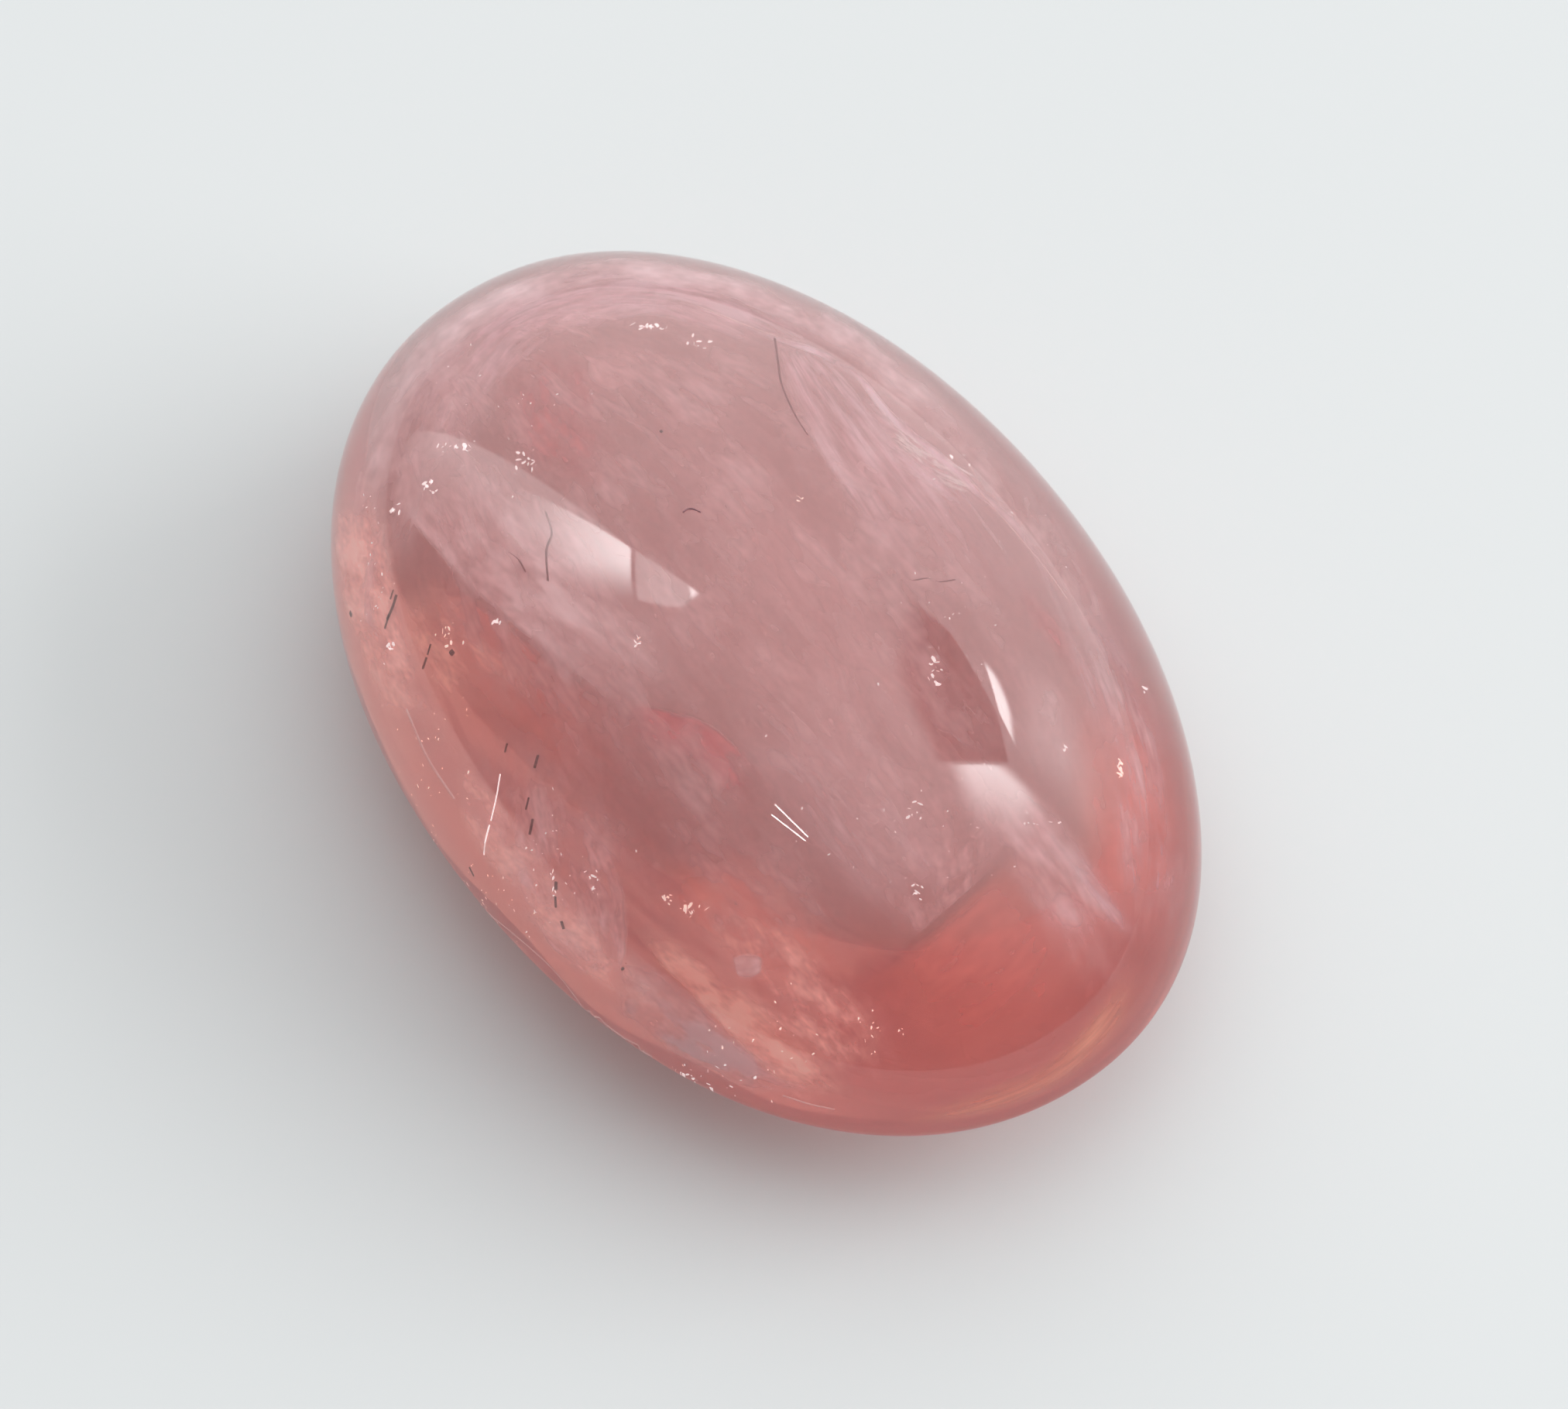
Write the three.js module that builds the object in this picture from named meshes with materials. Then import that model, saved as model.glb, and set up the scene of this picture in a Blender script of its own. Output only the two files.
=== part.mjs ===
import * as THREE from 'three';

// A polished oval cabochon, cut from one piece of stone. Lengths are in millimetres and +Z is up.
// The flat spot under the back lies on z = 0, and the long axis of the oval runs along X.

// The oval at the girdle, which is the widest line around the stone.
const HALF_LENGTH = 10;
const HALF_WIDTH = 6.5;
const OVAL_FULLNESS = 2.08;

// The high dome above the girdle and the shallow domed back below it.
const DOME_HEIGHT = 4.7;
const DOME_FULLNESS = 2.1;
const BACK_DEPTH = 2.4;
const BACK_FULLNESS = 1.85;

// The flat spot reaches this share of the way from the middle of the back to the girdle.
const FLAT_SPOT_REACH = 0.28;

// Hand cutting leaves the oval a little uneven, as shares of its half length and half width.
const UNEVEN_THREE_COS = -0.003;
const UNEVEN_THREE_SIN = -0.0017;
const UNEVEN_FIVE_SIN = 0.0016;

const SEGMENTS_AROUND = 88;
const DOME_RINGS = 17;
const BACK_RINGS = 9;

const STONE_COLOUR = 0xcc8a8c;
const STONE_ROUGHNESS = 0.08;

// A power that keeps the sign, for rounded shapes between an ellipse and a box.
function signedPower(value, power) {
  return Math.sign(value) * Math.abs(value) ** power;
}

// The height of a domed side at a given share of the way out to the girdle.
function sideHeight(reach, fullness, height) {
  return height * (1 - reach ** fullness) ** (1 / fullness);
}

const GIRDLE_HEIGHT = sideHeight(FLAT_SPOT_REACH, BACK_FULLNESS, BACK_DEPTH);

// The share of the way out to the girdle after a quarter turn from 0, pole, to 1, girdle.
function reachAt(quarter, fullness) {
  return Math.sin(quarter * Math.PI / 2) ** (2 / fullness);
}

// The rings of the back, from the edge of the flat spot to the girdle.
function backRings() {
  const firstQuarter = Math.asin(FLAT_SPOT_REACH ** (BACK_FULLNESS / 2)) / (Math.PI / 2);
  const rings = [];
  for (let i = 0; i < BACK_RINGS; i += 1) {
    const quarter = firstQuarter + (1 - firstQuarter) * i / BACK_RINGS;
    const reach = reachAt(quarter, BACK_FULLNESS);
    rings.push({ reach, height: GIRDLE_HEIGHT - sideHeight(reach, BACK_FULLNESS, BACK_DEPTH) });
  }
  return rings;
}

// The rings of the dome, from the girdle to just below the top.
function domeRings() {
  const rings = [];
  for (let i = 0; i < DOME_RINGS; i += 1) {
    const reach = reachAt(1 - i / DOME_RINGS, DOME_FULLNESS);
    rings.push({ reach, height: GIRDLE_HEIGHT + sideHeight(reach, DOME_FULLNESS, DOME_HEIGHT) });
  }
  return rings;
}

function ovalPoint(turn, reach, height) {
  const uneven = 1
    + UNEVEN_THREE_COS * Math.cos(3 * turn)
    + UNEVEN_THREE_SIN * Math.sin(3 * turn)
    + UNEVEN_FIVE_SIN * Math.sin(5 * turn);
  const roundness = 2 / OVAL_FULLNESS;
  return [
    HALF_LENGTH * reach * uneven * signedPower(Math.cos(turn), roundness),
    HALF_WIDTH * reach * uneven * signedPower(Math.sin(turn), roundness),
    height,
  ];
}

// One skin from the middle of the flat spot, out over the back, and up to the top of the dome.
function stoneGeometry() {
  const rings = [...backRings(), ...domeRings()];
  const positions = [0, 0, 0];
  for (const { reach, height } of rings) {
    for (let i = 0; i < SEGMENTS_AROUND; i += 1) {
      positions.push(...ovalPoint(2 * Math.PI * i / SEGMENTS_AROUND, reach, height));
    }
  }
  positions.push(0, 0, GIRDLE_HEIGHT + DOME_HEIGHT);
  const top = positions.length / 3 - 1;
  const corner = (ring, i) => 1 + ring * SEGMENTS_AROUND + i % SEGMENTS_AROUND;
  const faces = [];
  for (let i = 0; i < SEGMENTS_AROUND; i += 1) {
    faces.push(0, corner(0, i + 1), corner(0, i));
    for (let ring = 0; ring < rings.length - 1; ring += 1) {
      faces.push(corner(ring, i), corner(ring, i + 1), corner(ring + 1, i + 1));
      faces.push(corner(ring, i), corner(ring + 1, i + 1), corner(ring + 1, i));
    }
    faces.push(corner(rings.length - 1, i), corner(rings.length - 1, i + 1), top);
  }
  const geometry = new THREE.BufferGeometry();
  geometry.setAttribute('position', new THREE.Float32BufferAttribute(positions, 3));
  geometry.setIndex(faces);
  geometry.computeVertexNormals();
  return geometry;
}

// The unevenness shifts the oval a little, so its middle is put back over the origin.
function centreOverOrigin(geometry) {
  geometry.computeBoundingBox();
  const middle = geometry.boundingBox.getCenter(new THREE.Vector3());
  geometry.translate(-middle.x, -middle.y, 0);
}

function makeCabochon() {
  const geometry = stoneGeometry();
  centreOverOrigin(geometry);
  const material = new THREE.MeshStandardMaterial({
    color: STONE_COLOUR,
    roughness: STONE_ROUGHNESS,
    metalness: 0,
  });
  const cabochon = new THREE.Mesh(geometry, material);
  cabochon.name = 'cabochon';
  return cabochon;
}

const morganiteCabochon = new THREE.Group();
morganiteCabochon.add(makeCabochon());

export default morganiteCabochon;
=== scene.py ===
import math
import random

import bpy
from mathutils import Matrix, Quaternion, Vector, noise
from mathutils.bvhtree import BVHTree


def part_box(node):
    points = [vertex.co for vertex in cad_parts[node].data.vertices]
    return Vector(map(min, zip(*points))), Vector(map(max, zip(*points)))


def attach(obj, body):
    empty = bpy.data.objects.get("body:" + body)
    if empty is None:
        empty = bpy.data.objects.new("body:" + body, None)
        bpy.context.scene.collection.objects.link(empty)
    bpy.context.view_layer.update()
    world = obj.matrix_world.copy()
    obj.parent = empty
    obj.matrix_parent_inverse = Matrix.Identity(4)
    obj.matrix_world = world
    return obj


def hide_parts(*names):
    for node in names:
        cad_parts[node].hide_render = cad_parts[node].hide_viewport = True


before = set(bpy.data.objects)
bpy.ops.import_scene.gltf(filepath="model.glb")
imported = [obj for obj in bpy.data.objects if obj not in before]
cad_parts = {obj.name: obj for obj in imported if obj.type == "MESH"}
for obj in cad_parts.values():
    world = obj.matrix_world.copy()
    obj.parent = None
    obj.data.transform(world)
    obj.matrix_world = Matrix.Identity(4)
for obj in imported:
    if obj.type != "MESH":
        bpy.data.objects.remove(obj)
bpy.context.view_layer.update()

MM = 0.001
UP = Vector((0, 0, 1))

# The stone, in the same terms as the solid that it stands for
LOW, HIGH = (Vector(corner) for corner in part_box("cabochon"))
HALF_LENGTH = (HIGH.x - LOW.x) / 2
HALF_WIDTH = (HIGH.y - LOW.y) / 2
DOME_HEIGHT = 4.7 * MM
BACK_DEPTH = 2.4 * MM
GIRDLE_HEIGHT = HIGH.z - DOME_HEIGHT
OVAL_FULLNESS = 2.08
DOME_FULLNESS = 2.1
BACK_FULLNESS = 1.85
FLAT_SPOT_REACH = 0.28
UNEVEN_THREE_COS = -0.003
UNEVEN_THREE_SIN = -0.0017
UNEVEN_FIVE_SIN = 0.0016
STONE_IOR = 1.58

# The camera, as it stood for the photograph of 2025 by 1820 pixels
PHOTO_WIDTH, PHOTO_HEIGHT = 2025, 1820
CAMERA_ELEVATION = math.radians(57.6)
CAMERA_TURN = math.radians(62.3)
CAMERA_ROLL = math.radians(6.7)
CAMERA_DISTANCE = 160 * MM
PIXELS_PER_METRE = 71860
STONE_MIDDLE_PIXEL = (982.5, 895.6)


# Camera

def camera_axes():
    """The camera's right, up and backward directions, worked out from its angles."""
    right = Vector((math.cos(CAMERA_TURN), math.sin(CAMERA_TURN), 0))
    ahead = Vector((-math.sin(CAMERA_TURN), math.cos(CAMERA_TURN), 0))
    back = UP * math.sin(CAMERA_ELEVATION) - ahead * math.cos(CAMERA_ELEVATION)
    up = ahead * math.sin(CAMERA_ELEVATION) + UP * math.cos(CAMERA_ELEVATION)
    rolled_right = right * math.cos(CAMERA_ROLL) - up * math.sin(CAMERA_ROLL)
    rolled_up = right * math.sin(CAMERA_ROLL) + up * math.cos(CAMERA_ROLL)
    return rolled_right, rolled_up, back


CAMERA_RIGHT, CAMERA_UP, CAMERA_BACK = camera_axes()
CAMERA_PLACE = UP * GIRDLE_HEIGHT + CAMERA_BACK * CAMERA_DISTANCE
FOCAL_PIXELS = PIXELS_PER_METRE * CAMERA_DISTANCE


def make_camera():
    data = bpy.data.cameras.new("camera")
    camera = bpy.data.objects.new("camera", data)
    bpy.context.collection.objects.link(camera)
    turned = Matrix((CAMERA_RIGHT, CAMERA_UP, CAMERA_BACK)).transposed().to_4x4()
    camera.matrix_world = Matrix.Translation(CAMERA_PLACE) @ turned
    data.lens = data.sensor_width * FOCAL_PIXELS / PHOTO_WIDTH
    data.shift_x = (PHOTO_WIDTH / 2 - STONE_MIDDLE_PIXEL[0]) / PHOTO_WIDTH
    data.shift_y = (STONE_MIDDLE_PIXEL[1] - PHOTO_HEIGHT / 2) / PHOTO_WIDTH
    data.clip_start = 5 * MM
    data.clip_end = 5
    bpy.context.scene.camera = camera


def sight_line(pixel):
    """The direction in which a pixel of the photograph looks."""
    across = (pixel[0] - STONE_MIDDLE_PIXEL[0]) / FOCAL_PIXELS
    down = (pixel[1] - STONE_MIDDLE_PIXEL[1]) / FOCAL_PIXELS
    return (CAMERA_RIGHT * across - CAMERA_UP * down - CAMERA_BACK).normalized()


# Mesh helpers

def add_mesh(name, points, faces, material, smooth=True):
    mesh = bpy.data.meshes.new(name)
    mesh.from_pydata(points, [], faces)
    mesh.update()
    mesh.materials.append(material)
    for polygon in mesh.polygons:
        polygon.use_smooth = smooth
    piece = bpy.data.objects.new(name, mesh)
    bpy.context.collection.objects.link(piece)
    return piece


def smooth_step(value, low, high):
    share = min(max((value - low) / (high - low), 0), 1)
    return share * share * (3 - 2 * share)


# Stone body

AROUND = 288
DOME_RINGS = 120
BACK_RINGS = 56
WAVE_LENGTH = 2.6 * MM
WAVE_HEIGHT = 0.004 * MM
WAVE_START = (0.05 * MM, 0.6 * MM)
BACK_WAVE_LENGTH = 2.4 * MM
BACK_WAVE_HEIGHT = 0.06 * MM
BACK_WAVE_START = (0.1 * MM, 0.8 * MM)


def signed_power(value, power):
    return math.copysign(abs(value) ** power, value)


def side_height(reach, fullness, height):
    return height * (1 - reach ** fullness) ** (1 / fullness)


def reach_at(quarter, fullness):
    return math.sin(quarter * math.pi / 2) ** (2 / fullness)


def stone_rings():
    """Reach and height of each ring, from the edge of the flat spot to just below the top."""
    first = math.asin(FLAT_SPOT_REACH ** (BACK_FULLNESS / 2)) / (math.pi / 2)
    rings = []
    for i in range(BACK_RINGS):
        reach = reach_at(first + (1 - first) * i / BACK_RINGS, BACK_FULLNESS)
        rings.append((reach, GIRDLE_HEIGHT - side_height(reach, BACK_FULLNESS, BACK_DEPTH)))
    for i in range(DOME_RINGS):
        reach = reach_at(1 - i / DOME_RINGS, DOME_FULLNESS)
        rings.append((reach, GIRDLE_HEIGHT + side_height(reach, DOME_FULLNESS, DOME_HEIGHT)))
    return rings


def oval_point(turn, reach, height):
    uneven = (
        1
        + UNEVEN_THREE_COS * math.cos(3 * turn)
        + UNEVEN_THREE_SIN * math.sin(3 * turn)
        + UNEVEN_FIVE_SIN * math.sin(5 * turn)
    )
    x = HALF_LENGTH * reach * uneven * signed_power(math.cos(turn), 2 / OVAL_FULLNESS)
    y = HALF_WIDTH * reach * uneven * signed_power(math.sin(turn), 2 / OVAL_FULLNESS)
    return Vector((x, y, height))


def polish_wave(point):
    """How far hand polishing leaves the surface above or below its ideal shape."""
    above_base = smooth_step(point.z, *WAVE_START)
    below_girdle = smooth_step(GIRDLE_HEIGHT - point.z, *BACK_WAVE_START)
    dome_wave = WAVE_HEIGHT * noise.noise(point / WAVE_LENGTH)
    back_wave = BACK_WAVE_HEIGHT * noise.noise(point / BACK_WAVE_LENGTH)
    return above_base * (dome_wave + below_girdle * back_wave)


def make_stone(material):
    """The stone itself. Gives a search tree of its surface, for what is placed inside it."""
    rings = stone_rings()
    points = [Vector((0, 0, 0))]
    for reach, height in rings:
        for i in range(AROUND):
            point = oval_point(2 * math.pi * i / AROUND, reach, height)
            outward = Vector((point.x / HALF_LENGTH, point.y / HALF_WIDTH, 0))
            outward.z = (point.z - GIRDLE_HEIGHT) / DOME_HEIGHT
            points.append(point + outward.normalized() * polish_wave(point))
    points.append(UP * HIGH.z)
    top = len(points) - 1

    def corner(ring, i):
        return 1 + ring * AROUND + i % AROUND

    faces = []
    for i in range(AROUND):
        faces.append((0, corner(0, i + 1), corner(0, i)))
        for ring in range(len(rings) - 1):
            faces.append(
                (corner(ring, i), corner(ring, i + 1), corner(ring + 1, i + 1), corner(ring + 1, i))
            )
        faces.append((corner(len(rings) - 1, i), corner(len(rings) - 1, i + 1), top))
    stone = add_mesh("polished_stone", points, faces, material)
    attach(stone, "root")
    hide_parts("cabochon")
    return BVHTree.FromPolygons(points, faces)


JUST_INSIDE = 0.01 * MM
DEEPEST_SHARE = 0.96
DRAW_IN_STEP = 0.01


def inside_point(pixel, depth):
    """The point at a depth inside the stone that shows at a pixel, along the bent line of sight.

    A pixel beside the stone is first drawn in towards its middle.
    """
    place = None
    pixel = Vector(pixel)
    while place is None:
        line = sight_line(pixel)
        place, normal, _, _ = stone_tree.ray_cast(CAMERA_PLACE, line)
        pixel = pixel.lerp(Vector(STONE_MIDDLE_PIXEL), DRAW_IN_STEP)
    facing = -line.dot(normal)
    ratio = 1 / STONE_IOR
    straight = math.sqrt(1 - ratio * ratio * (1 - facing * facing))
    bent = line * ratio + normal * (ratio * facing - straight)
    start = place + bent * JUST_INSIDE
    _, _, _, length = stone_tree.ray_cast(start, bent)
    return place + bent * min(depth, (length or depth) * DEEPEST_SHARE)


# Materials

def new_material(name):
    material = bpy.data.materials.new(name)
    material.use_nodes = True
    return material, material.node_tree.nodes, material.node_tree.links


def set_inputs(node, values):
    for name, value in values.items():
        node.inputs[name].default_value = value


def add_noise(nodes, links, place, scale, detail):
    """A noise pattern over places that are first multiplied by a scale."""
    mapping = nodes.new("ShaderNodeMapping")
    set_inputs(mapping, {"Scale": scale})
    pattern = nodes.new("ShaderNodeTexNoise")
    set_inputs(pattern, {"Scale": 1, "Detail": detail})
    links.new(place, mapping.inputs["Vector"])
    links.new(mapping.outputs["Vector"], pattern.inputs["Vector"])
    return pattern


def remap(nodes, links, source, from_range, to_range):
    node = nodes.new("ShaderNodeMapRange")
    node.inputs["From Min"].default_value, node.inputs["From Max"].default_value = from_range
    node.inputs["To Min"].default_value, node.inputs["To Max"].default_value = to_range
    links.new(source, node.inputs["Value"])
    return node.outputs["Result"]


def join_values(nodes, links, operation, first, second):
    node = nodes.new("ShaderNodeMath")
    node.operation = operation
    for socket, value in zip(node.inputs, (first, second)):
        if isinstance(value, (int, float)):
            socket.default_value = value
        else:
            links.new(value, socket)
    return node.outputs["Value"]


def choose(nodes, links, factor, first, second):
    """The first value where the factor is 0, and the second where it is 1."""
    mix = nodes.new("ShaderNodeMix")
    links.new(factor, mix.inputs["Factor"])
    links.new(first, mix.inputs["A"])
    links.new(second, mix.inputs["B"])
    return mix.outputs["Result"]


def mix_colours(nodes, links, surface, share, first, second):
    """Gives a surface the first colour where the share is 0, and the second where it is 1."""
    mix = nodes.new("ShaderNodeMix")
    mix.data_type = "RGBA"
    set_inputs(mix, {"A": (*first, 1), "B": (*second, 1)})
    links.new(share, mix.inputs["Factor"])
    links.new(mix.outputs["Result"], surface.inputs["Base Color"])


def share_towards(nodes, links, vector, axis, start, end):
    """0 where the vector's length along an axis is below start, and 1 where it is above end."""
    along = nodes.new("ShaderNodeVectorMath")
    along.operation = "DOT_PRODUCT"
    set_inputs(along, {1: axis})
    links.new(vector, along.inputs[0])
    ramp = nodes.new("ShaderNodeMapRange")
    ramp.interpolation_type = "SMOOTHSTEP"
    set_inputs(ramp, {"From Min": start, "From Max": end})
    links.new(along.outputs["Value"], ramp.inputs["Value"])
    return ramp.outputs["Result"]


STONE_COLOUR = (1, 0.87, 0.86, 1)
POLISHED_ROUGHNESS = 0.015
ABSORBED_PER_METRE = (1, 74, 79)
SCATTER_COLOUR = (0.97, 0.88, 0.98, 1)
HAZE_THIN, HAZE_THICK = 8, 210
CLEAR_END_AXIS = Vector((0.89, 0.08, -0.45))
CLEAR_END_REACH = (4.6 * MM, 1.9 * MM)
CLEAR_SIDE_AXIS = Vector((-0.1, 0.92, 0.36))
CLEAR_SIDE_REACH = (-8.5 * MM, 2.5 * MM)
FLOOR_COLOUR = (0.61, 0.625, 0.627, 1)


def haze_share(nodes, links):
    """How milky the stone is: most in the middle and at the far side, least at the +X end."""
    place = nodes.new("ShaderNodeTexCoord").outputs["Object"]
    off_end = share_towards(nodes, links, place, CLEAR_END_AXIS, *CLEAR_END_REACH)
    off_side = share_towards(nodes, links, place, CLEAR_SIDE_AXIS, *CLEAR_SIDE_REACH)
    return join_values(nodes, links, "MULTIPLY", off_end, off_side)


def stone_material():
    material, nodes, links = new_material("polished_morganite")
    surface = nodes["Principled BSDF"]
    set_inputs(surface, {"Base Color": STONE_COLOUR, "Roughness": POLISHED_ROUGHNESS})
    set_inputs(surface, {"Transmission Weight": 1, "IOR": STONE_IOR})
    densest = max(ABSORBED_PER_METRE)
    left_over = [1 - absorbed / densest for absorbed in ABSORBED_PER_METRE]
    absorb = nodes.new("ShaderNodeVolumeAbsorption")
    set_inputs(absorb, {"Density": densest, "Color": (*left_over, 1)})
    scatter = nodes.new("ShaderNodeVolumeScatter")
    set_inputs(scatter, {"Color": SCATTER_COLOUR})
    haze = remap(nodes, links, haze_share(nodes, links), (0, 1), (HAZE_THIN, HAZE_THICK))
    links.new(haze, scatter.inputs["Density"])
    both = nodes.new("ShaderNodeAddShader")
    links.new(absorb.outputs[0], both.inputs[0])
    links.new(scatter.outputs[0], both.inputs[1])
    links.new(both.outputs[0], nodes["Material Output"].inputs["Volume"])
    return material


def floor_material():
    material, nodes, _ = new_material("pale_floor")
    surface = nodes["Principled BSDF"]
    set_inputs(surface, {"Base Color": FLOOR_COLOUR, "Roughness": 0.9, "Specular IOR Level": 0})
    return material


# Veils inside the stone. Their edges are drawn over the photograph in its pixels, and their depths are in mm.
# Steps along sheets, needles and cracks, and the length of a ripple, are in those pixels too.

PIXEL = 1 / PIXELS_PER_METRE
SHEET_STEP = 9
FEWEST_ALONG, FEWEST_ACROSS = 16, 12
SHEET_SPAN = 25 * MM
CLOUD_DETAIL, FIBRE_DETAIL = 3, 2
NOISE_RANGE = (0.3, 0.7)
RIDGED_NOISE_RANGE = (0.7, 1.7)
RIPPLE_SHARE = 0.1
RIPPLE_PIXELS = 110
RIPPLE_SPREAD = 70
PATTERN_START_SPREAD = (0.4, 0.7)


def smooth_curve(stops, count):
    """Evenly spread points on a smooth curve through the stops."""
    stops = [Vector(stop) for stop in stops]
    ends = [stops[0] * 2 - stops[1], *stops, stops[-1] * 2 - stops[-2]]
    curve = []
    for i in range(count):
        reach = i / (count - 1) * (len(stops) - 1)
        part = min(int(reach), len(stops) - 2)
        t = reach - part
        a, b, c, d = ends[part:part + 4]
        bend = b * 2 + (c - a) * t + (a * 2 - b * 5 + c * 4 - d) * t * t
        curve.append((bend + (b * 3 - a - c * 3 + d) * t ** 3) / 2)
    return curve


def curve_length(stops):
    return sum((Vector(b) - Vector(a)).length for a, b in zip(stops, stops[1:]))


def step_count(length, step, fewest):
    return max(fewest, round(length / step))


def feather(share, start, end):
    """1 in the middle of a side, falling to 0 over the first and the last share of it."""
    return smooth_step(share, 0, start) * smooth_step(1 - share, 0, end)


def sheet_noise(nodes, links, size, detail, ridged=False):
    """A pattern on a sheet. Its size is the length along the sheet and the width across it of a feature."""
    place = nodes.new("ShaderNodeUVMap")
    place.uv_map = "sheet"
    scale = (SHEET_SPAN / size[0], SHEET_SPAN / size[1], 1)
    pattern = add_noise(nodes, links, place.outputs["UV"], scale, detail)
    pattern.noise_dimensions = "2D"
    set_inputs(pattern, {"Roughness": 0.6})
    if ridged:
        pattern.noise_type = "RIDGED_MULTIFRACTAL"
        set_inputs(pattern, {"Offset": 1, "Gain": 2})
    return pattern.outputs["Fac"]


def veil_material(name, colours, cloud_size, fibre_size, patchiness, stringiness, ridged=False, glow=0):
    """A thin milky sheet, made of soft clouds and of fibres along its length.

    Its glow is painted light: emission that stands for the light that it gathers from behind and passes on.
    """
    material, nodes, links = new_material(name)
    surface = nodes["Principled BSDF"]
    set_inputs(surface, {"Roughness": 0.9, "Specular IOR Level": 0})
    veil = nodes.new("ShaderNodeVertexColor")
    veil.layer_name = "veil"
    parts = nodes.new("ShaderNodeSeparateColor")
    links.new(veil.outputs["Color"], parts.inputs["Color"])
    clouds = sheet_noise(nodes, links, cloud_size, CLOUD_DETAIL)
    clouds = remap(nodes, links, clouds, NOISE_RANGE, (0, 1))
    mix_colours(nodes, links, surface, clouds, *colours)
    clouded = remap(nodes, links, clouds, (0, 1), (1 - patchiness, 1 + patchiness))
    fibres = sheet_noise(nodes, links, fibre_size, FIBRE_DETAIL, ridged)
    fibre_range = RIDGED_NOISE_RANGE if ridged else NOISE_RANGE
    fibres = remap(nodes, links, fibres, fibre_range, (1 - stringiness, 1 + stringiness))
    body = join_values(nodes, links, "MULTIPLY", parts.outputs["Red"], parts.outputs["Green"])
    for share in (clouded, fibres):
        body = join_values(nodes, links, "MULTIPLY", body, share)
    links.new(body, surface.inputs["Alpha"])
    # Painted light: the veil glows in its second colour.
    set_inputs(surface, {"Emission Color": (*colours[1], 1), "Emission Strength": glow})
    material.cycles.emission_sampling = "NONE"
    return material


def sheet_points(first_edge, second_edge, depths, seed):
    """A rippled sheet between two edges: its points, their shares along and across, faces and size."""
    longer = max(curve_length(first_edge), curve_length(second_edge))
    along = step_count(longer, SHEET_STEP, FEWEST_ALONG)
    gaps = [(Vector(b) - Vector(a)).length for a, b in zip(first_edge, second_edge)]
    across = step_count(max(gaps), SHEET_STEP, FEWEST_ACROSS)
    first, second = smooth_curve(first_edge, along + 1), smooth_curve(second_edge, along + 1)
    points, shares = [], []
    for i in range(along + 1):
        for j in range(across + 1):
            pixel = first[i].lerp(second[i], j / across)
            depth = depths[0] + (depths[1] - depths[0]) * j / across
            wave = noise.noise(Vector((pixel.x, pixel.y, seed * RIPPLE_SPREAD)) / RIPPLE_PIXELS)
            points.append(inside_point(pixel, depth * (1 + RIPPLE_SHARE * wave) * MM))
            shares.append((i / along, j / across))
    faces = []
    for i in range(along):
        for j in range(across):
            corner = i * (across + 1) + j
            faces.append((corner, corner + 1, corner + across + 2, corner + across + 1))
    size = (curve_length(first_edge) * PIXEL, max(gaps) * PIXEL)
    return points, shares, faces, size


def add_veil(name, edges, depths, soft_ends, soft_sides, material, strength):
    """A veil between two edges. It fades over the soft shares at its ends and its sides."""
    rough = random.Random(name)
    points, shares, faces, size = sheet_points(*edges, depths, rough.random())
    veil = add_mesh(name, points, faces, bpy.data.materials[material])
    layer = veil.data.color_attributes.new("veil", "FLOAT_COLOR", "POINT")
    for i, (along, across) in enumerate(shares):
        reach = feather(along, *soft_ends) * feather(across, *soft_sides)
        layer.data[i].color = (reach, strength, 0, 1)
    sheet = veil.data.uv_layers.new(name="sheet")
    start = [rough.uniform(0, spread) for spread in PATTERN_START_SPREAD]
    for loop in veil.data.loops:
        along, across = shares[loop.vertex_index]
        sheet.data[loop.index].uv = (
            start[0] + along * size[0] / SHEET_SPAN,
            start[1] + across * size[1] / SHEET_SPAN,
        )
    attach(veil, "root")
    # Light that has scattered passes the veils by, which spares much of a render's time.
    veil.visible_diffuse = False
    veil.visible_volume_scatter = False


MILKY = ((1, 0.6, 0.62), (1, 0.76, 0.79))
LILAC = ((1, 0.7, 0.78), (1, 0.86, 0.94))
GREYISH = ((0.95, 0.55, 0.57), (1, 0.7, 0.72))
# Peach and pale peach are mostly painted light, the light that the stone focuses on its lower left side.
PEACH = ((1, 0.42, 0.36), (1, 0.58, 0.5))
PALE = ((1, 0.7, 0.73), (1, 0.86, 0.9))
PALE_PEACH = ((1, 0.45, 0.4), (1, 0.6, 0.54))
CORAL = ((1, 0.29, 0.24), (1, 0.36, 0.3))
# Golden is painted light, the caustic along the lower right rim.
GOLDEN = ((1, 0.4, 0.26), (1, 0.52, 0.36))
WHITE = ((1, 0.9, 0.93), (1, 1, 1))
RED = ((0.7, 0.15, 0.17), (0.88, 0.28, 0.29))


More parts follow.
